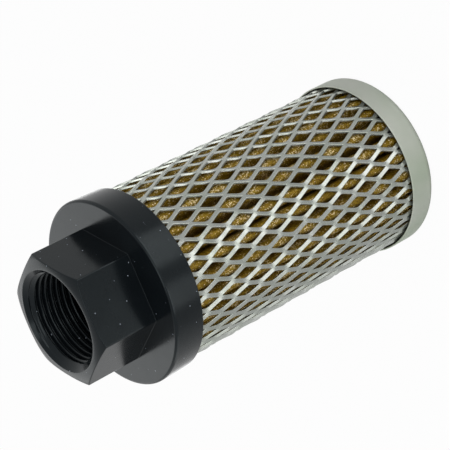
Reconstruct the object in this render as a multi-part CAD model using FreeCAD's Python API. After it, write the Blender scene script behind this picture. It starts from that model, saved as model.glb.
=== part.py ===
# Fuel tank strainer, a screw-in suction screen for the inside of a tank.
# A black moulded head with a hexagon and a female pipe thread carries a
# raised expanded metal guard, a pleated wire gauze and a perforated centre tube,
# and a drawn steel cap closes the far end. Adhesive beds the three tubes at both ends.
#
# Frame: millimetres, +Z up along the axis. The cap stands on Z = 0 and the thread
# mouth faces up. Two flats of the hexagon face +Y and -Y.

import FreeCAD, Part
import math
import os

V = FreeCAD.Vector
AXIS = V(0, 0, 1)
CENTRE = V(0, 0, 0)

# Driving dimensions

# Straight steps that stand for a rounded edge are about this long
round_step = 1.6

# Clearances
end_gap = 0.2            # guard's strands to the skirt and cap beside them, at the tightest
tube_gap = 0.2           # centre tube over the head's spigot
gauze_gap = 0.3          # gauze to the guard outside it and to the centre tube inside it
bed_gap = 0.1            # adhesive to the walls that hold it

# End cap, a drawn cup
cap_wall = 0.5
cap_height = 10.9
cap_base_round = 3.0

# Adhesive beds
cap_bed_depth = 6.3
cap_bed_chamfer = 2.6    # keeps the bed clear of the round inside the cap
head_bed_depth = 7.35

# The three tubes between the beds are cut to one length
screen_length = 103.95

# Guard, one sheet of raised expanded metal rolled into a tube
guard_outer_r = 30.7
strand_width = 1.15
strand_thickness = 0.85
strand_tilt_deg = -25.0  # strands lean, as they do where the sheet isn't flattened
diamond_count = 29
diamond_long_way = 11.55
bond_length = 1.0        # where two strands are joined, measured along the tube
guard_turn_deg = 5.2     # how the guard stands against the hexagon

# Gauze, one folded strip of wire cloth
pleat_count = 28
gauze_thickness = 0.4
gauze_ridge_width = 2.6
gauze_ridge_flat = 1.3
gauze_ridge_drop = 0.8
gauze_valley_width = 1.0

# Centre tube, punched steel
tube_inner_r = 17.2
tube_wall = 0.6
tube_slot_width = 8.0
tube_slot_length = 24.0
tube_slot_count = 4
tube_row_count = 3

# Head
thread_minor_r = 15.15   # one inch parallel pipe thread, 30.29 across its crests
mouth_r = 17.7           # countersink at the mouth
hex_flats = 39.6
hex_length = 21.6
hex_chamfer_deg = 21.8
hex_face_r = 19.2        # flat ring round the mouth
flange_length = 11.6
flange_draft_deg = 1.9
flange_edge_round = 1.0
skirt_wall = 1.1
web_thickness = 2.1      # between the adhesive and the flange's front face

# Worked-out sizes

tilt = math.radians(strand_tilt_deg)
strips = 2 * diamond_count
strip_step = 2 * math.pi / strips
guard_turn = math.radians(guard_turn_deg)
guard_half_depth = strand_width * abs(math.sin(tilt)) + strand_thickness / 2 * math.cos(tilt)
guard_mid_r = guard_outer_r - guard_half_depth
guard_inner_r = guard_mid_r - guard_half_depth

cap_inner_r = guard_outer_r + end_gap
cap_outer_r = cap_inner_r + cap_wall
screen_bottom = cap_wall + cap_bed_depth
screen_top = screen_bottom + screen_length

skirt_inner_r = guard_outer_r + end_gap
flange_back_r = skirt_inner_r + skirt_wall
pocket_top = screen_top + head_bed_depth
flange_front = pocket_top + web_thickness
flange_back = flange_front - flange_length
flange_front_r = flange_back_r + flange_length * math.tan(math.radians(flange_draft_deg))
head_top = flange_front + hex_length
spigot_r = tube_inner_r - tube_gap

tube_outer_r = tube_inner_r + tube_wall
gauze_outer_r = guard_inner_r - gauze_gap
gauze_inner_r = tube_outer_r + gauze_gap

guard_rows = round(screen_length / (diamond_long_way / 2))
guard_row_step = screen_length / guard_rows   # half a diamond


# Helpers


def revolve(points, round_at=None, round_r=0.0):
    """Solid of revolution about Z from (radius, height) points; one corner may be rounded."""
    corners = [V(r, 0, z) for r, z in points]
    if round_at is not None:
        at = corners[round_at]
        back = (corners[round_at - 1] - at).normalize()
        ahead = (corners[(round_at + 1) % len(corners)] - at).normalize()
        half_turn = back.getAngle(ahead) / 2
        reach = round_r / math.tan(half_turn)
        middle = at + (back + ahead).normalize() * (round_r / math.sin(half_turn) - round_r)
        arc = Part.Arc(at + back * reach, middle, at + ahead * reach).toShape()
        steps = max(1, round(arc.Length / round_step))
        corners[round_at:round_at + 1] = arc.discretize(Number=steps + 1)
    return polygon_face(corners).revolve(CENTRE, AXIS, 360)


def ring(inner_r, outer_r, bottom, top):
    """Plain ring about Z."""
    body = Part.makeCylinder(outer_r, top - bottom, V(0, 0, bottom))
    return body.cut(Part.makeCylinder(inner_r, top - bottom, V(0, 0, bottom)))


def polygon_face(points):
    """Flat face from its corners."""
    return Part.Face(Part.makePolygon(points + points[:1]))


def at_height(point, z):
    """The same point of the plan, at height z."""
    return V(point.x, point.y, z)


def polar(radius, angle):
    """Point of the plan."""
    return V(radius * math.cos(angle), radius * math.sin(angle), 0)


# Head


def make_hexagon():
    """Hexagon with a turned chamfer round the mouth."""
    corner_r = hex_flats / math.sqrt(3)
    corners = [polar(corner_r, math.radians(60 * i)) for i in range(6)]
    base = polygon_face([at_height(p, pocket_top) for p in corners])
    prism = base.extrude(V(0, 0, head_top - pocket_top))
    outside_r = corner_r + 1.0
    drop = (outside_r - hex_face_r) * math.tan(math.radians(hex_chamfer_deg))
    turned = revolve([(0, pocket_top), (outside_r, pocket_top),
                      (outside_r, head_top - drop), (hex_face_r, head_top), (0, head_top)])
    return prism.common(turned)


def make_head():
    """Flange with its skirt and spigot, hexagon and threaded way through, in one moulding."""
    flange = revolve([(0, flange_back), (flange_back_r, flange_back),
                      (flange_front_r, flange_front), (0, flange_front)],
                     round_at=2, round_r=flange_edge_round)
    head = flange.fuse(make_hexagon()).removeSplitter()
    pocket = ring(spigot_r, skirt_inner_r, flange_back, pocket_top)
    countersink = mouth_r - thread_minor_r
    way_through = revolve([(0, flange_back), (thread_minor_r, flange_back),
                           (thread_minor_r, head_top - countersink),
                           (mouth_r, head_top), (0, head_top)])
    return head.cut(pocket).cut(way_through)


# Guard


def across(angle):
    """Direction across a strand in the plan: round the tube, leaning by the tilt."""
    return polar(1, angle + math.pi / 2) * math.cos(tilt) + polar(1, angle) * math.sin(tilt)


def through(angle):
    """Direction through a strand's thickness in the plan."""
    return polar(1, angle) * math.cos(tilt) - polar(1, angle + math.pi / 2) * math.sin(tilt)


def seam(strip):
    """Outer and inner end of the line where this strip is joined to the next one."""
    angle = guard_turn + (strip + 0.5) * strip_step
    middle = polar(guard_mid_r, angle)
    half = through(angle) * (strand_thickness / 2)
    return middle + half, middle - half


def strip_section(strip):
    """Plan section of a zigzag strip where it is joined to the strip before it.

    Gives its outer left, inner left, inner right and outer right corners, and the shift
    that brings its right side onto the seam with the strip after it. Each strip only
    shifts and never turns, so every face of the guard is flat.
    """
    left_out, left_in = seam(strip - 1)
    seam_out, seam_in = seam(strip)
    width = across(guard_turn + strip * strip_step) * strand_width
    left_middle = (left_out + left_in) / 2
    seam_middle = (seam_out + seam_in) / 2
    shift = seam_middle - left_middle - width
    return [left_out, left_in, seam_in - shift, seam_out - shift], shift


def joined_before(strip, row):
    """True where the strip is joined to the one before it, False to the one after."""
    return (strip + row) % 2 == 1


def leg_faces(strip, row):
    """The four long faces of a strip's leg between two rows of bonds."""
    section, shift = strip_section(strip)
    low = screen_bottom + row * guard_row_step
    high = low + guard_row_step
    ends = []
    for z, inward, before in ((low, 1, joined_before(strip, row)),
                              (high, -1, joined_before(strip, row + 1))):
        joined = z + inward * bond_length / 2
        left_z, right_z = (joined, z) if before else (z, joined)
        move = CENTRE if before else shift
        heights = (left_z, left_z, right_z, right_z)
        ends.append([at_height(p + move, h) for p, h in zip(section, heights)])
    faces = []
    for i in range(4):
        j = (i + 1) % 4
        faces.append(polygon_face([ends[0][i], ends[0][j], ends[1][j], ends[1][i]]))
    return faces


def bond_faces(strip, row):
    """The outer and inner three-cornered face of a strip at one of its bonds."""
    section, shift = strip_section(strip)
    z = screen_bottom + row * guard_row_step
    low = z if row == 0 else z - bond_length / 2
    high = z if row == guard_rows else z + bond_length / 2
    left_out, left_in, right_in, right_out = section
    faces = []
    for left, right in ((left_out, right_out), (left_in, right_in)):
        if joined_before(strip, row):
            tip, side = right, left
        else:
            tip, side = left + shift, right + shift
        faces.append(polygon_face([at_height(tip, z), at_height(side, low), at_height(side, high)]))
    return faces


def cut_end_face(strip, row):
    """The sawn end across this strip and the one after it, joined at the end row."""
    z = screen_bottom + row * guard_row_step
    section, shift = strip_section(strip)
    after = strip_section(strip + 1)[0]
    outline = [section[0] + shift, section[3] + shift, after[3], after[2],
               section[2] + shift, section[1] + shift]
    return polygon_face([at_height(p, z) for p in outline])


def make_guard():
    """All the strips of the expanded sheet, sewn at their bonds into one solid."""
    faces = []
    for strip in range(strips):
        for row in range(guard_rows):
            faces += leg_faces(strip, row)
        for row in range(guard_rows + 1):
            faces += bond_faces(strip, row)
        for row in (0, guard_rows):
            if not joined_before(strip, row):
                faces.append(cut_end_face(strip, row))
    sheet = Part.makeCompound(faces)
    sheet.sewShape()
    guard = Part.Solid(sheet.Shells[0])
    if guard.Volume < 0:
        guard.reverse()
    return guard


# Gauze


def pleat_outline(outer_r, inner_r, widen):
    """Closed plan outline of the folded cloth; widen opens ridges and closes valleys."""
    points = []
    pitch = 2 * math.pi / pleat_count
    shoulder_r = outer_r - gauze_ridge_drop
    half_ridge = gauze_ridge_width / 2 + widen
    half_flat = gauze_ridge_flat / 2 + widen / 2
    half_valley = gauze_valley_width / 2 - widen
    for i in range(pleat_count):
        middle = i * pitch
        valley = middle + pitch / 2
        points.append(polar(shoulder_r, middle - half_ridge / shoulder_r))
        points.append(polar(outer_r, middle - half_flat / outer_r))
        points.append(polar(outer_r, middle + half_flat / outer_r))
        points.append(polar(shoulder_r, middle + half_ridge / shoulder_r))
        points.append(polar(inner_r, valley - half_valley / inner_r))
        points.append(polar(inner_r, valley + half_valley / inner_r))
    return points


def make_gauze():
    """Pleated cloth as one closed wall of even thickness."""
    half = gauze_thickness / 2
    outside = pleat_outline(gauze_outer_r, gauze_inner_r + gauze_thickness, half)
    inside = pleat_outline(gauze_outer_r - gauze_thickness, gauze_inner_r, -half)
    height = V(0, 0, screen_length)
    body = polygon_face([at_height(p, screen_bottom) for p in outside]).extrude(height)
    hollow = polygon_face([at_height(p, screen_bottom) for p in inside]).extrude(height)
    return body.cut(hollow)


# Centre tube


def make_centre_tube():
    """Thin steel tube with staggered rows of punched slots."""
    tube = ring(tube_inner_r, tube_outer_r, screen_bottom, screen_top)
    reach = tube_outer_r + 1.0
    row_pitch = screen_length / tube_row_count
    punches = []
    for row in range(tube_row_count):
        slot_bottom = screen_bottom + (row + 0.5) * row_pitch - tube_slot_length / 2
        stagger = 0.5 * (row % 2)
        for i in range(tube_slot_count // 2):
            bar = Part.makeBox(2 * reach, tube_slot_width, tube_slot_length,
                               V(-reach, -tube_slot_width / 2, slot_bottom))
            turn = (i + stagger) * 360 / tube_slot_count
            punches.append(bar.rotate(CENTRE, AXIS, turn))
    return tube.cut(punches)


# End cap and adhesive beds


def make_end_cap():
    """Drawn cup with a round base edge, of even thickness."""
    outside = revolve([(0, 0), (cap_outer_r, 0), (cap_outer_r, cap_height), (0, cap_height)],
                      round_at=1, round_r=cap_base_round)
    inside = revolve([(0, cap_wall), (cap_inner_r, cap_wall),
                      (cap_inner_r, cap_height), (0, cap_height)],
                     round_at=1, round_r=cap_base_round - cap_wall)
    return outside.cut(inside)


def make_cap_bed():
    """Disc of adhesive in the cap, which the three tubes stand on."""
    rim_r = cap_inner_r - bed_gap
    return revolve([(0, cap_wall), (rim_r - cap_bed_chamfer, cap_wall),
                    (rim_r, cap_wall + cap_bed_chamfer), (rim_r, screen_bottom),
                    (0, screen_bottom)])


def make_head_bed():
    """Ring of adhesive in the head's pocket, which the three tubes meet."""
    return ring(spigot_r + bed_gap, skirt_inner_r - bed_gap, screen_top, pocket_top)


# Export, one file for each piece

pieces = {
    "head": make_head(),
    "guard": make_guard(),
    "pleated_gauze": make_gauze(),
    "centre_tube": make_centre_tube(),
    "end_cap": make_end_cap(),
    "cap_adhesive": make_cap_bed(),
    "head_adhesive": make_head_bed(),
}

os.makedirs("parts", exist_ok=True)
for name, shape in pieces.items():
    if shape.ShapeType == "Compound" and len(shape.Solids) == 1:
        shape = shape.Solids[0]
    shape.exportStep("parts/" + name + ".step")
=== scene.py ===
import math

import bmesh
import bpy
import numpy as np
from mathutils import Matrix, Vector


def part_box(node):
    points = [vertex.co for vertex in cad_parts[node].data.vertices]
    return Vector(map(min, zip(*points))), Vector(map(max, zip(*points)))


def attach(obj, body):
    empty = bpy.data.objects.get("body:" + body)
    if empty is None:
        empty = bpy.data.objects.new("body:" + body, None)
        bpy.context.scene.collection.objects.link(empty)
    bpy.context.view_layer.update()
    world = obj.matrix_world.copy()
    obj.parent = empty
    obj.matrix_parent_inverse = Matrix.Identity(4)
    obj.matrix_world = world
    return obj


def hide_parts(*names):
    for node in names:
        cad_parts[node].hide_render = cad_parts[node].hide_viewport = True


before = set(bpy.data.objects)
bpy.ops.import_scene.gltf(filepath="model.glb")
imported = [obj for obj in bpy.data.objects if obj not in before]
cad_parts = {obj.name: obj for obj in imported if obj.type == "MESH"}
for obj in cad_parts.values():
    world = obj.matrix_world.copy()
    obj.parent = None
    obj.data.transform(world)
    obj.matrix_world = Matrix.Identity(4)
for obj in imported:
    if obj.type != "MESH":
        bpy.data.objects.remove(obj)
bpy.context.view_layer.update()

# Fuel tank strainer: a black moulded head with a female pipe thread, a raised expanded
# metal guard over a pleated wire gauze, a punched centre tube and a drawn steel cap.
# The pieces are worked out in millimetres, and mesh_piece makes them in metres.
# Camera, floor and lamps are in metres. A round is given as (radius, steps).

MM = 0.001
rng = np.random.default_rng(7)


def heights(node):
    """Lowest and highest point of a CAD node, in millimetres."""
    low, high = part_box(node)
    return low.z / MM, high.z / MM


# Sizes read from the frame
flange_back, head_top = heights("head")
screen_bottom, screen_top = heights("guard")
cap_height = heights("end_cap")[1]
pocket_top = heights("head_adhesive")[1]
cap_outer_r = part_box("end_cap")[1].x / MM

# Thread and mouth
thread_crest_r = 15.15
thread_root_r = 16.6
thread_pitch = 2.309
thread_length = 20.0
thread_start = 0.38       # where the first turn begins, as a share of the pitch
rows_per_pitch = 12
groove_peak = 1.12        # the groove's sides would meet at this depth; it is cut flat at 1
groove_slope = 1.24       # fall of its sides in half a pitch
groove_softness = 0.5     # share of a smooth step in the groove's straight sides
plain_rows = 6            # rows of the bore below the thread
mouth_r = 17.7
mouth_end = 0.25          # the bore's rows end this far below the top, under the mouth's round
mouth_round = (0.3, 3)

# Hexagon
hex_apothem = 19.8
hex_corner_r = 0.6
hex_angles = [0.26, 0.52, 0.757, 1.4, 2.4, *range(4, 30, 2)]   # degrees from a corner
hex_end_round = (0.3, 3)
hex_foot_round = (0.12, 2)
crown_flat = 0.25         # flat land round the mouth
crown_slope = 0.08        # past it the end falls by crown_slope * d + crown_bend * d * d
crown_bend = 0.0445
crown_points = 7

# Flange and spigot
flange_front = 120.2      # height of the flange's front face
flange_front_r = 32.37
flange_front_round = (1.0, 6)
flange_back_r = 32.0
flange_back_round = (0.35, 3)
skirt_inner_r = 30.9
skirt_round = (0.25, 2)
spigot_r = 17.0

# Guard
guard_outer_r = 30.7
strand_width = 1.15
strand_thickness = 0.85
strand_tilt = math.radians(-25.0)
strand_spans = 5          # mesh steps along the free part of a strand
strand_edge = 0.14        # bevel on the strands' edges
strand_edge_deg = 35.0    # edges sharper than this are bevelled
crease_deg = 14.0         # where two strands meet the shading has a crease
diamonds_around = 29
guard_rows = 18
guard_turn = math.radians(5.2)
bond_length = 1.5
opening_arch = 0.9        # how softly the rounded corner of each opening turns
weld_distance = 0.002
strand_half_depth = (strand_width * abs(math.sin(strand_tilt))
                     + strand_thickness / 2 * math.cos(strand_tilt))
guard_middle_r = guard_outer_r - strand_half_depth - strand_edge / 2
strip_step = math.pi / diamonds_around

# Gauze
pleat_count = 28
gauze_levels = 36
gauze_outer_r = 28.55
gauze_inner_r = 18.15
gauze_wall = 0.4
valley_half_width = 0.5
# Half of a ridge, from flank to top: depth, half width and share of the wall's widening
ridge_profile = ((2.6, 2.05, 1.0), (0.8, 1.6, 1.0), (0.0, 0.8, 0.5))
# Spread of the ridges' sideways place, of their sway and, as a share, of their width
ridge_offset = 0.28
ridge_sway = 0.16
ridge_swell = 0.09
sway_waves = 3
corner_cuts = 2

# End cap
cap_wall = 0.5
cap_base_round = (3.0, 10)
cap_inner_round = (cap_base_round[0] - cap_wall, 6)
cap_rim_round = (0.2, 3)
cap_segments = 224

# Camera, floor and lamps
camera_lens = 144.6
camera_sensor = 36.0
camera_place = Vector((0.07274, -0.49903, 0.40907))
camera_aim = Vector((0.00282, -0.00067, 0.06914))
camera_roll = math.radians(-117.373)
floor_reach = 6.0
floor_z = -0.05 * MM      # just clear of the cap's base, so that no two faces share a plane
lamp_aim = Vector((0, 0, 0.07))
# Name, direction, distance, width, height, power in watts
lamps = (("key", (0.48, -0.83, 0.284), 1.0, 0.7, 0.55, 3.4),
         ("front", (-0.438, -0.859, 0.241), 1.0, 0.5, 0.5, 2.0),
         ("side", (-0.98, -0.05, 0.1), 1.0, 0.6, 0.5, 1.0),
         ("top", (0.0, -0.25, 0.97), 0.9, 0.35, 0.35, 0.8),
         ("back", (-0.13, 0.88, 0.46), 1.2, 1.0, 0.5, 1.7))


# Mesh helpers


def mesh_piece(name, points, faces, node, sharp_deg):
    """Makes a mesh object from millimetre points, smooth up to sharp_deg, in a CAD node's place."""
    mesh = bpy.data.meshes.new(name)
    mesh.from_pydata((np.asarray(points, float) * MM).tolist(), [], [list(f) for f in faces])
    mesh.validate()
    shade(mesh, sharp_deg)
    piece = bpy.data.objects.new(name, mesh)
    bpy.context.scene.collection.objects.link(piece)
    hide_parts(node)
    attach(piece, "root")
    return piece


def shade(mesh, sharp_deg):
    """Smooth shading with creases at the edges that turn by more than sharp_deg."""
    mesh.shade_smooth()
    mesh.set_sharp_from_angle(angle=math.radians(sharp_deg))


def weighted_normals(piece):
    """Keeps broad faces flat-shaded up to their rounded edges."""
    modifier = piece.modifiers.new("normals", "WEIGHTED_NORMAL")
    modifier.keep_sharp = True
    modifier.weight = 60


def rounded(corner, before, after, radius, steps):
    """Points of a round at the corner of an outline, as (radius, height) pairs."""
    corner, before, after = (np.array(p, float) for p in (corner, before, after))
    back = (before - corner) / np.linalg.norm(before - corner)
    ahead = (after - corner) / np.linalg.norm(after - corner)
    half = math.acos(np.clip(back @ ahead, -1, 1)) / 2
    reach = radius / math.tan(half)
    middle = corner + (back + ahead) / np.linalg.norm(back + ahead) * radius / math.sin(half)
    first = corner + back * reach - middle
    last = corner + ahead * reach - middle
    turn = math.pi - 2 * half
    shares = np.linspace(0, 1, steps + 1)
    weight_a = np.sin((1 - shares) * turn) / math.sin(turn)
    weight_b = np.sin(shares * turn) / math.sin(turn)
    return [tuple(middle + a * first + b * last) for a, b in zip(weight_a, weight_b)]


def softened(outline):
    """Points of an outline of corners (r, z), or (r, z, round) where a corner has a round."""
    points = []
    for i, (r, z, *rounds) in enumerate(outline):
        if rounds:
            before, after = outline[i - 1][:2], outline[(i + 1) % len(outline)][:2]
            points += rounded((r, z), before, after, *rounds[0])
        else:
            points.append((r, z))
    return points


def turned_points(profile, angles):
    """Grid of points of a profile turned through the angles."""
    r, z = np.array(profile, float).T
    turn = np.asarray(angles)[:, None]
    level = np.broadcast_to(z, (len(angles), len(z)))
    return np.stack([r * np.cos(turn), r * np.sin(turn), level], 2)


def grid_faces(columns, rows, closed_rows):
    """Quads of a grid whose columns close round the axis, numbered column by column."""
    faces = []
    for i in range(columns):
        j = (i + 1) % columns
        for k in range(rows if closed_rows else rows - 1):
            m = (k + 1) % rows
            faces.append((i * rows + k, j * rows + k, j * rows + m, i * rows + m))
    return faces


def lathe(profile, segments):
    """Closed solid of revolution from a profile that starts and ends on the axis."""
    angles = np.arange(segments) * 2 * math.pi / segments
    inner = profile[1:-1]
    rows = len(inner)
    points = turned_points(inner, angles).reshape(-1, 3)
    faces = grid_faces(segments, rows, False)
    first, last = len(points), len(points) + 1
    points = np.vstack([points, [[0, 0, profile[0][1]], [0, 0, profile[-1][1]]]])
    for i in range(segments):
        j = (i + 1) % segments
        faces.append((first, j * rows, i * rows))
        faces.append((last, i * rows + rows - 1, j * rows + rows - 1))
    return points, faces


# Head


def hexagon_radius(angle):
    """Distance from the axis to the hexagon's rounded outline; corners at 0, 60... degrees."""
    half_side = math.pi / 6
    from_corner = (angle + half_side) % (2 * half_side) - half_side
    middle = (hex_apothem - hex_corner_r) / math.cos(half_side)
    reach = math.atan2(hex_corner_r * math.sin(half_side),
                       middle + hex_corner_r * math.cos(half_side))
    if abs(from_corner) < reach:
        aside = middle * math.sin(from_corner)
        return middle * math.cos(from_corner) + math.sqrt(hex_corner_r ** 2 - aside ** 2)
    return hex_apothem / math.cos(half_side - abs(from_corner))


def crown(hex_r):
    """Points of the crowned end of the hexagon, from the land round the mouth to its side."""
    start = mouth_r + crown_flat
    return [(r, head_top - crown_slope * (r - start) - crown_bend * (r - start) ** 2)
            for r in np.linspace(start, hex_r, crown_points)]


def head_angles():
    """Angles round the head, close together at the hexagon's corners."""
    sector = [0.0, *hex_angles, 30.0, *(60.0 - a for a in reversed(hex_angles))]
    return np.radians([60.0 * k + a for k in range(6) for a in sector])


def bore_radii(angle, z):
    """Radius of the threaded bore and its countersink at one angle, for an array of heights."""
    phase = ((z - head_top) / thread_pitch - angle / (2 * math.pi) + thread_start) % 1.0
    ramp = np.clip(groove_peak - 2 * abs(phase - 0.5) * groove_slope, 0, 1)
    step = ramp * ramp * (3 - 2 * ramp)
    groove = step * groove_softness + ramp * (1 - groove_softness)
    depth = np.clip((z - (head_top - thread_length)) / thread_pitch, 0, 1)
    thread = thread_crest_r + (thread_root_r - thread_crest_r) * groove * depth
    return np.maximum(thread, mouth_r - (head_top - z))


def make_head():
    """Flange, skirt, hexagon and threaded bore as one closed grid of turned profiles."""
    thread_end = head_top - thread_length
    thread_rows = int(thread_length / thread_pitch * rows_per_pitch)
    bore_z = np.concatenate([np.linspace(flange_back, thread_end, plain_rows)[:-1],
                             np.linspace(thread_end, head_top - mouth_end, thread_rows)])
    angles = head_angles()
    columns = []
    for angle in angles:
        hex_r = hexagon_radius(angle)
        *land, end = crown(hex_r)
        # The first corner only gives the countersink's direction to the mouth's round
        outline = [(mouth_r - 1.0, head_top - 1.0), (mouth_r, head_top, mouth_round),
                   *land, (*end, hex_end_round), (hex_r, flange_front, hex_foot_round),
                   (flange_front_r, flange_front, flange_front_round),
                   (flange_back_r, flange_back, flange_back_round),
                   (skirt_inner_r, flange_back, skirt_round), (skirt_inner_r, pocket_top),
                   (spigot_r, pocket_top), (spigot_r, flange_back)]
        bore = list(zip(bore_radii(angle, bore_z), bore_z))
        # Downwards through the bore and up the outside, so that the faces look outwards
        columns.append(turned_points((bore + softened(outline)[1:])[::-1], [angle])[0])
    faces = grid_faces(len(angles), len(columns[0]), True)
    piece = mesh_piece("head_moulding", np.vstack(columns), faces, "head", sharp_deg=50)
    weighted_normals(piece)
    return piece


# Guard


def directions(angle):
    """Unit vectors outwards and round the axis at an angle, in plan."""
    out = np.array([math.cos(angle), math.sin(angle)])
    return out, np.array([-out[1], out[0]])


def seam(strip):
    """Outer and inner plan point where a strip is joined to the next one."""
    out, along = directions(guard_turn + (strip + 0.5) * strip_step)
    half = (out * math.cos(strand_tilt) - along * math.sin(strand_tilt)) * strand_thickness / 2
    return guard_middle_r * out + half, guard_middle_r * out - half


def strip_plan(strip):
    """Left and right plan corners, outer and inner, and the shift between its joined places."""
    left = np.array(seam(strip - 1))
    right_seam = np.array(seam(strip))
    out, along = directions(guard_turn + strip * strip_step)
    width = (along * math.cos(strand_tilt) + out * math.sin(strand_tilt)) * strand_width
    shift = right_seam.mean(0) - left.mean(0) - width
    return left, right_seam - shift, shift


def arched(share, free, arch):
    """Straight run from 0 to 1 whose start is bent into a soft arch."""
    return 1 + (np.hypot(share * free, arch) - math.hypot(free, arch)) / free


def strand_faces(start, count, first, last):
    """Quads round a strand of count sections, closed at its ends only where it is the first
    or the last of its strip."""
    quads = []
    for k in range(count - 1):
        a, b = start + 4 * k, start + 4 * (k + 1)
        quads += [(a, a + 2, b + 2, b), (a + 3, a + 1, b + 1, b + 3)]
        if k > 0:
            quads.append((a + 1, a, b, b + 1))
        if k < count - 2:
            quads.append((a + 2, a + 3, b + 3, b + 2))
    if first:
        quads.append((start, start + 1, start + 3, start + 2))
    if last:
        end = start + 4 * (count - 1)
        quads.append((end, end + 2, end + 3, end + 1))
    return quads


def make_guard():
    """Expanded metal tube: zigzag strips that share their edges where they are joined."""
    row_step = (screen_top - screen_bottom) / guard_rows
    free = row_step - bond_length / 2
    share = np.linspace(0, 1, strand_spans + 1)
    # Rise and sideways shift along each side of a strand, from one joined place to the next.
    # Each opening's two free corners are soft curves, the one on the right softer
    right_rise = np.append(share * free, row_step)
    right_shift = np.append(arched(share, free, opening_arch), 1.0)
    left_rise = np.insert(bond_length / 2 + share * free, 0, 0.0)
    left_shift = np.insert(1 - arched(1 - share, free, opening_arch / 2), 0, 0.0)
    sections = list(zip(left_rise, left_shift, right_rise, right_shift))
    points, faces = [], []
    for strip in range(2 * diamonds_around):
        left, right, shift = strip_plan(strip)
        for row in range(guard_rows):
            up = (strip + row) % 2 == 1
            base = screen_bottom + (row if up else row + 1) * row_step
            sign = 1 if up else -1
            ends = (row == 0, row == guard_rows - 1)
            quads = strand_faces(len(points), len(sections), *(ends if up else ends[::-1]))
            faces += quads if up else [quad[::-1] for quad in quads]
            for left_z, left_move, right_z, right_move in sections:
                for side, rise, moved in ((left, left_z, left_move),
                                          (right, right_z, right_move)):
                    points += [(*(plan + shift * moved), base + sign * rise) for plan in side]
    piece = mesh_piece("expanded_guard", points, faces, "guard", sharp_deg=crease_deg)
    weld(piece.data)
    bevel = piece.modifiers.new("edges", "BEVEL")
    bevel.width = strand_edge * MM
    bevel.segments = 2
    bevel.limit_method = "ANGLE"
    bevel.angle_limit = math.radians(strand_edge_deg)
    weighted_normals(piece)
    return piece


def weld(mesh):
    """Joins the points of neighbouring strands, and shades the mesh again."""
    work = bmesh.new()
    work.from_mesh(mesh)
    bmesh.ops.remove_doubles(work, verts=work.verts, dist=weld_distance * MM)
    bmesh.ops.recalc_face_normals(work, faces=work.faces)
    work.to_mesh(mesh)
    work.free()
    shade(mesh, crease_deg)


# Gauze


def cut_corners(points, times):
    """Softens a closed outline by cutting its corners."""
    for _ in range(times):
        after = np.roll(points, -1, axis=0)
        pairs = [0.75 * points + 0.25 * after, 0.25 * points + 0.75 * after]
        points = np.stack(pairs, 1).reshape(-1, points.shape[1])
    return points


def pleat_outline(outer_r, inner_r, widen, sway, swell):
    """Plan outline of the folded cloth at one height; sway turns and swell widens each ridge."""
    pitch = 2 * math.pi / pleat_count
    half_valley = valley_half_width - widen
    points = []
    for i in range(pleat_count):
        ridge = i * pitch + sway[i] / outer_r
        valley = (i + 0.5) * pitch + (sway[i] + sway[(i + 1) % pleat_count]) / 2 / outer_r
        side = [(outer_r - depth, half * swell[i] + share * widen)
                for depth, half, share in ridge_profile]
        turns = [(r, ridge - half / r) for r, half in side]
        turns += [(r, ridge + half / r) for r, half in reversed(side)]
        turns += [(inner_r, valley + half / inner_r) for half in (-half_valley, half_valley)]
        points += [(r * math.cos(angle), r * math.sin(angle)) for r, angle in turns]
    return np.array(points)


def make_gauze():
    """Pleated cloth with uneven, slightly swaying ridges, as one closed wall."""
    base = rng.normal(0, ridge_offset, pleat_count)
    waves = rng.normal(0, ridge_sway, (sway_waves, pleat_count))
    phases = rng.uniform(0, 2 * math.pi, (sway_waves, pleat_count))
    swell = 1 + rng.normal(0, ridge_swell, pleat_count)
    half = gauze_wall / 2
    points = []
    # Each ridge sways in waves of 0.6, 1.6 and 2.6 turns over the height
    for z in np.linspace(screen_bottom, screen_top, gauze_levels):
        t = (z - screen_bottom) / (screen_top - screen_bottom)
        sway = base + sum(waves[k] * np.sin(2 * math.pi * (k + 0.6) * t + phases[k])
                          for k in range(sway_waves))
        for outer_r, inner_r, widen in ((gauze_outer_r, gauze_inner_r + gauze_wall, half),
                                        (gauze_outer_r - gauze_wall, gauze_inner_r, -half)):
            outline = pleat_outline(outer_r, inner_r, widen, sway, swell)
            outline = cut_corners(outline, corner_cuts)
            points.append(np.column_stack([outline, np.full(len(outline), z)]))
    n = len(points[0])
    faces = []
    for level in range(gauze_levels - 1):
        for side in range(2):
            a, b = (2 * level + side) * n, (2 * level + 2 + side) * n
            for i in range(n):
                j = (i + 1) % n
                quad = (a + i, a + j, b + j, b + i)
                faces.append(quad[::-1] if side else quad)
    top = (2 * gauze_levels - 2) * n
    for i in range(n):
        j = (i + 1) % n
        faces.append((i, n + i, n + j, j))
        faces.append((top + i, top + j, top + n + j, top + n + i))
    return mesh_piece("pleated_cloth", np.vstack(points), faces, "pleated_gauze", sharp_deg=60)


# End cap


def make_cap():
    """Drawn cup with a rolled base edge and a fine rim."""
    inner_r = cap_outer_r - cap_wall
    profile = softened([(0, 0), (cap_outer_r / 2, 0), (cap_outer_r, 0, cap_base_round),
                        (cap_outer_r, cap_height, cap_rim_round),
                        (inner_r, cap_height, cap_rim_round),
                        (inner_r, cap_wall, cap_inner_round),
                        (inner_r / 2, cap_wall), (0, cap_wall)])
    piece = mesh_piece("drawn_cap", *lathe(profile, cap_segments), "end_cap", sharp_deg=50)
    weighted_normals(piece)
    return piece


# Node helpers


def feed(tree, value, socket):
    """Sets a socket to a number, or links it to another node's output."""
    if isinstance(value, (int, float)):
        socket.default_value = value
    else:
        tree.links.new(value, socket)


def maths(tree, operation, *values):
    """A maths node on numbers or sockets."""
    node = tree.nodes.new("ShaderNodeMath")
    node.operation = operation
    for socket, value in zip(node.inputs, values):
        feed(tree, value, socket)
    return node.outputs[0]


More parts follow.
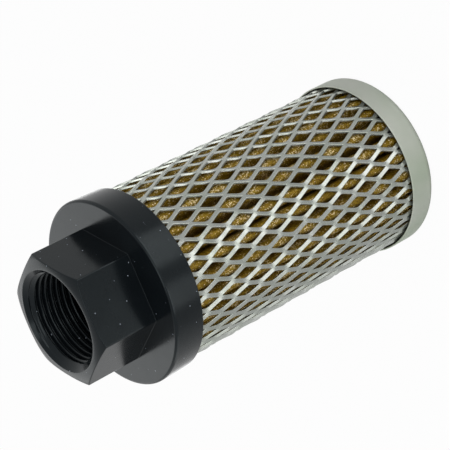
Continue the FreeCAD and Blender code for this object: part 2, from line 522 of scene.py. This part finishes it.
def mapped(tree, value, start, end, low, high):
    """Maps start to end onto low to high, and holds outside."""
    node = tree.nodes.new("ShaderNodeMapRange")
    inputs = {"Value": value, "From Min": start, "From Max": end, "To Min": low, "To Max": high}
    for name, number in inputs.items():
        feed(tree, number, node.inputs[name])
    return node.outputs["Result"]


def plain_shader(tree, kind, colour, **values):
    """A shader of one colour; values are its other sockets."""
    node = tree.nodes.new(kind)
    node.inputs["Color"].default_value = (*colour, 1)
    for name, value in values.items():
        node.inputs[name].default_value = value
    return node.outputs[0]


def mixed_shader(tree, share, first, second):
    """The first shader, with a share of the second one."""
    node = tree.nodes.new("ShaderNodeMixShader")
    for socket, output in zip(node.inputs, (share, first, second)):
        tree.links.new(output, socket)
    return node.outputs[0]


# Materials


class Finish:
    """A procedural material: a few helpers round one principled shader."""

    def __init__(self, name, **sockets):
        self.material = bpy.data.materials.new(name)
        self.material.use_nodes = True
        self.tree = self.material.node_tree
        self.shader = self.tree.nodes["Principled BSDF"]
        self.coords = self.tree.nodes.new("ShaderNodeTexCoord").outputs["Object"]
        self.bumps = None
        for socket, value in sockets.items():
            self.shader.inputs[socket.replace("_", " ")].default_value = value

    def scaled(self, *factors):
        """Object coordinates stretched by three factors."""
        node = self.tree.nodes.new("ShaderNodeMapping")
        node.inputs["Scale"].default_value = factors
        self.tree.links.new(self.coords, node.inputs["Vector"])
        return node.outputs["Vector"]

    def noise(self, scale, detail=3.0, roughness=0.55, coords=None):
        """Noise value between 0 and 1."""
        node = self.tree.nodes.new("ShaderNodeTexNoise")
        node.inputs["Scale"].default_value = scale
        node.inputs["Detail"].default_value = detail
        node.inputs["Roughness"].default_value = roughness
        self.tree.links.new(coords or self.coords, node.inputs["Vector"])
        return node.outputs["Fac"]

    def cells(self, scale, coords=None):
        """Distance to the nearest random cell point and that cell's random value."""
        node = self.tree.nodes.new("ShaderNodeTexVoronoi")
        node.inputs["Scale"].default_value = scale
        self.tree.links.new(coords or self.coords, node.inputs["Vector"])
        return node.outputs["Distance"], node.outputs["Color"]

    def maths(self, operation, *values):
        """A maths node on numbers or sockets."""
        return maths(self.tree, operation, *values)

    def mapped(self, value, start, end, low, high):
        """Maps start to end onto low to high, and holds outside."""
        return mapped(self.tree, value, start, end, low, high)

    def dots(self, scale, inner, outer, threshold):
        """Small dots: 1 inside the inner radius and 0 outside the outer one, only in the cells
        whose random value is above the threshold."""
        distance, cell = self.cells(scale)
        chosen = self.maths("GREATER_THAN", cell, threshold)
        return self.maths("MULTIPLY", self.mapped(distance, inner, outer, 1.0, 0.0), chosen)

    def ramp(self, value, *stops):
        """Colour ramp; stops are (position, colour)."""
        node = self.tree.nodes.new("ShaderNodeValToRGB")
        elements = node.color_ramp.elements
        while len(elements) < len(stops):
            elements.new(0.5)
        for element, (position, colour) in zip(elements, stops):
            element.position = position
            element.color = (*colour, 1.0)
        self.tree.links.new(value, node.inputs["Fac"])
        return node.outputs["Color"]

    def mixed(self, share, first, colour):
        """The first colour output, with a share of a plain colour."""
        node = self.tree.nodes.new("ShaderNodeMix")
        node.data_type = "RGBA"
        self.tree.links.new(share, node.inputs["Factor"])
        self.tree.links.new(first, node.inputs[6])
        node.inputs[7].default_value = (*colour, 1.0)
        return node.outputs[2]

    def colour(self, output):
        """Gives the shader its colour."""
        self.tree.links.new(output, self.shader.inputs["Base Color"])

    def rough(self, value, low, high):
        """Roughness from low to high as the value goes from 0 to 1."""
        output = self.mapped(value, 0.0, 1.0, low, high)
        self.tree.links.new(output, self.shader.inputs["Roughness"])

    def bump(self, height, strength, distance_mm):
        """Adds a bump on top of the ones before it."""
        node = self.tree.nodes.new("ShaderNodeBump")
        node.inputs["Strength"].default_value = strength
        node.inputs["Distance"].default_value = distance_mm * MM
        self.tree.links.new(height, node.inputs["Height"])
        if self.bumps is not None:
            self.tree.links.new(self.bumps, node.inputs["Normal"])
        self.bumps = node.outputs["Normal"]
        self.tree.links.new(self.bumps, self.shader.inputs["Normal"])


def moulded_black():
    """Glass-filled nylon: blue-black, semi-gloss, with pale specks and scuffs."""
    finish = Finish("moulded_black", IOR=1.32, Specular_Tint=(0.86, 0.98, 1.0, 1.0))
    base = finish.ramp(finish.noise(60),
                       (0.3, (0.0035, 0.0048, 0.006)), (0.7, (0.006, 0.008, 0.0095)))
    specks = finish.dots(330, inner=0.05, outer=0.085, threshold=0.5)
    scratched = finish.noise(240, 5, 0.7, coords=finish.scaled(1.0, 1.0, 3.5))
    scuffs = finish.mapped(scratched, start=0.68, end=0.74, low=0.0, high=0.35)
    marks = finish.maths("MAXIMUM", specks, scuffs)
    finish.colour(finish.mixed(marks, base, (0.24, 0.27, 0.31)))
    finish.rough(finish.noise(260, detail=4), low=0.13, high=0.26)
    finish.bump(finish.noise(1500, detail=2), strength=0.12, distance_mm=0.02)
    finish.bump(finish.noise(120, detail=2), strength=0.08, distance_mm=0.1)
    return finish.material


def zinc_strand():
    """Zinc plate on the guard: bright metal with a green cast, duller in patches."""
    finish = Finish("zinc_strand", Metallic=0.75)
    finish.colour(finish.ramp(finish.noise(110),
                              (0.3, (0.38, 0.41, 0.36)), (0.7, (0.44, 0.455, 0.425))))
    finish.rough(finish.noise(700), low=0.2, high=0.3)
    finish.bump(finish.noise(2600, detail=2), strength=0.15, distance_mm=0.02)
    return finish.material


def zinc_cap():
    """Satin zinc on the drawn cap, with soft clouds and fine drawing marks up the wall."""
    finish = Finish("zinc_cap", Metallic=0.5, IOR=1.3)
    finish.colour(finish.ramp(finish.noise(38, 3, 0.5),
                              (0.35, (0.45, 0.505, 0.405)), (0.65, (0.57, 0.59, 0.525))))
    marks = finish.noise(420, 3, 0.6, coords=finish.scaled(1.0, 1.0, 0.08))
    finish.rough(marks, low=0.5, high=0.66)
    finish.bump(marks, strength=0.12, distance_mm=0.02)
    finish.bump(finish.noise(2200, detail=2), strength=0.1, distance_mm=0.015)
    return finish.material


def wire_cloth():
    """Fine woven wire: gold brown, ribbed by its wires, with tiny painted glints in its colour."""
    finish = Finish("wire_cloth", Metallic=0.3, Specular_IOR_Level=0.25)
    wire_depth, wire_tone = finish.cells(3500, finish.scaled(1.0, 1.0, 0.7))
    patches = finish.maths("MULTIPLY", finish.noise(160, detail=4), 0.5)
    tone_and_glint = finish.maths("ADD", finish.maths("MULTIPLY", wire_tone, 0.6), patches)
    # The ramp's last stop is a painted highlight: a near-white gold that stands in for glints of
    # light on the wires.
    finish.colour(finish.ramp(tone_and_glint,
                              (0.25, (0.11, 0.055, 0.003)), (0.45, (0.23, 0.135, 0.007)),
                              (0.62, (0.34, 0.215, 0.016)), (0.71, (0.46, 0.31, 0.05)),
                              (0.75, (1.0, 0.84, 0.5))))
    finish.rough(wire_tone, low=0.25, high=0.6)
    finish.bump(wire_depth, strength=0.7, distance_mm=0.09)
    return finish.material


def plain_steel():
    """Zinc-plated steel of the centre tube."""
    finish = Finish("plain_steel", Metallic=0.6)
    finish.colour(finish.ramp(finish.noise(90),
                              (0.3, (0.42, 0.44, 0.42)), (0.7, (0.54, 0.55, 0.54))))
    finish.rough(finish.noise(500), low=0.35, high=0.5)
    finish.bump(finish.noise(2000, detail=2), strength=0.12, distance_mm=0.02)
    return finish.material


def potting_resin():
    """Dark cured resin with small flow marks."""
    finish = Finish("potting_resin", IOR=1.5)
    finish.colour(finish.ramp(finish.noise(140),
                              (0.3, (0.02, 0.018, 0.016)), (0.7, (0.05, 0.045, 0.04))))
    finish.rough(finish.noise(300), low=0.35, high=0.6)
    finish.bump(finish.noise(400), strength=0.2, distance_mm=0.1)
    return finish.material


def dress(piece, material):
    """Gives a piece one material in all its slots, adding a slot where it has none."""
    if not piece.material_slots:
        piece.data.materials.append(material)
    for place in piece.material_slots:
        place.material = material


# Stage


def backdrop_share(tree, seen, mirrored):
    """Share of white: seen for camera rays, mirrored for glossy and transmission rays, each
    a number or a socket."""
    rays = tree.nodes.new("ShaderNodeLightPath").outputs
    shares = [maths(tree, "MULTIPLY", rays[name], amount)
              for name, amount in (("Is Camera Ray", seen), ("Is Glossy Ray", mirrored),
                                   ("Is Transmission Ray", mirrored))]
    return maths(tree, "MAXIMUM", shares[0], maths(tree, "MAXIMUM", shares[1], shares[2]))


def make_floor():
    """Floor that the camera sees near white under a faint shadow and mirrors see pale and
    polished, and that throws little light back up."""
    corners = [(x * floor_reach, y * floor_reach, floor_z)
               for x, y in ((-1, -1), (1, -1), (1, 1), (-1, 1))]
    mesh = bpy.data.meshes.new("floor")
    mesh.from_pydata(corners, [], [(0, 1, 2, 3)])
    floor = bpy.data.objects.new("floor", mesh)
    bpy.context.scene.collection.objects.link(floor)
    material = bpy.data.materials.new("pale_floor")
    material.use_nodes = True
    tree = material.node_tree
    tree.nodes.clear()
    rays = tree.nodes.new("ShaderNodeLightPath").outputs
    lit = plain_shader(tree, "ShaderNodeBsdfDiffuse", (0.08, 0.08, 0.08))
    sheen = plain_shader(tree, "ShaderNodeBsdfGlossy", (0.84, 0.84, 0.84), Roughness=0.2)
    pale = plain_shader(tree, "ShaderNodeBsdfDiffuse", (0.7, 0.7, 0.7))
    white = plain_shader(tree, "ShaderNodeEmission", (1, 1, 1), Strength=1.0)
    surface = mixed_shader(tree, rays["Is Glossy Ray"], lit, sheen)
    surface = mixed_shader(tree, rays["Is Camera Ray"], surface, pale)
    share = backdrop_share(tree, seen=0.96, mirrored=0.15)
    surface = mixed_shader(tree, share, surface, white)
    out = tree.nodes.new("ShaderNodeOutputMaterial")
    tree.links.new(surface, out.inputs["Surface"])
    mesh.materials.append(material)


def make_world():
    """Backdrop that is white for the camera, dimmer towards the front and overhead for
    mirrors, and a softer grey as light."""
    world = bpy.data.worlds.new("studio")
    bpy.context.scene.world = world
    world.use_nodes = True
    tree = world.node_tree
    tree.nodes.clear()
    soft = plain_shader(tree, "ShaderNodeBackground", (0.95, 0.97, 1.0), Strength=0.55)
    white = plain_shader(tree, "ShaderNodeBackground", (1, 1, 1), Strength=1.0)
    direction = tree.nodes.new("ShaderNodeTexCoord")
    parts = tree.nodes.new("ShaderNodeSeparateXYZ")
    tree.links.new(direction.outputs["Generated"], parts.inputs[0])
    front = mapped(tree, parts.outputs["Y"], start=-0.5, end=0.5, low=0.33, high=1.0)
    overhead = mapped(tree, parts.outputs["Z"], start=0.58, end=0.75, low=1.0, high=0.3)
    share = backdrop_share(tree, seen=1.0, mirrored=maths(tree, "MULTIPLY", front, overhead))
    out = tree.nodes.new("ShaderNodeOutputWorld")
    tree.links.new(mixed_shader(tree, share, soft, white), out.inputs["Surface"])


def area_light(name, direction, distance, width, height, power):
    """Soft lamp of a width and height that looks at the middle of the object."""
    data = bpy.data.lights.new(name, "AREA")
    data.shape = "RECTANGLE"
    data.size = width
    data.size_y = height
    data.energy = power
    light = bpy.data.objects.new(name, data)
    bpy.context.scene.collection.objects.link(light)
    light.visible_camera = False
    ray = Vector(direction).normalized()
    light.location = lamp_aim + ray * distance
    light.rotation_euler = (-ray).to_track_quat("-Z", "Y").to_euler()


def make_camera():
    """The photograph's viewpoint, above and in front, rolled so that the mouth is low left."""
    data = bpy.data.cameras.new("camera")
    data.lens = camera_lens
    data.sensor_width = camera_sensor
    camera = bpy.data.objects.new("camera", data)
    bpy.context.scene.collection.objects.link(camera)
    turn = (camera_aim - camera_place).to_track_quat("-Z", "Y").to_matrix().to_4x4()
    camera.matrix_world = turn @ Matrix.Rotation(camera_roll, 4, "Z")
    camera.location = camera_place
    bpy.context.scene.camera = camera


# Scene

make_camera()
make_floor()
make_world()
for lamp in lamps:
    area_light(*lamp)

dress(make_head(), moulded_black())
dress(make_guard(), zinc_strand())
dress(make_gauze(), wire_cloth())
dress(make_cap(), zinc_cap())
dress(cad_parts["centre_tube"], plain_steel())
resin = potting_resin()
dress(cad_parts["cap_adhesive"], resin)
dress(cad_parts["head_adhesive"], resin)

bpy.context.scene.view_settings.view_transform = "Standard"
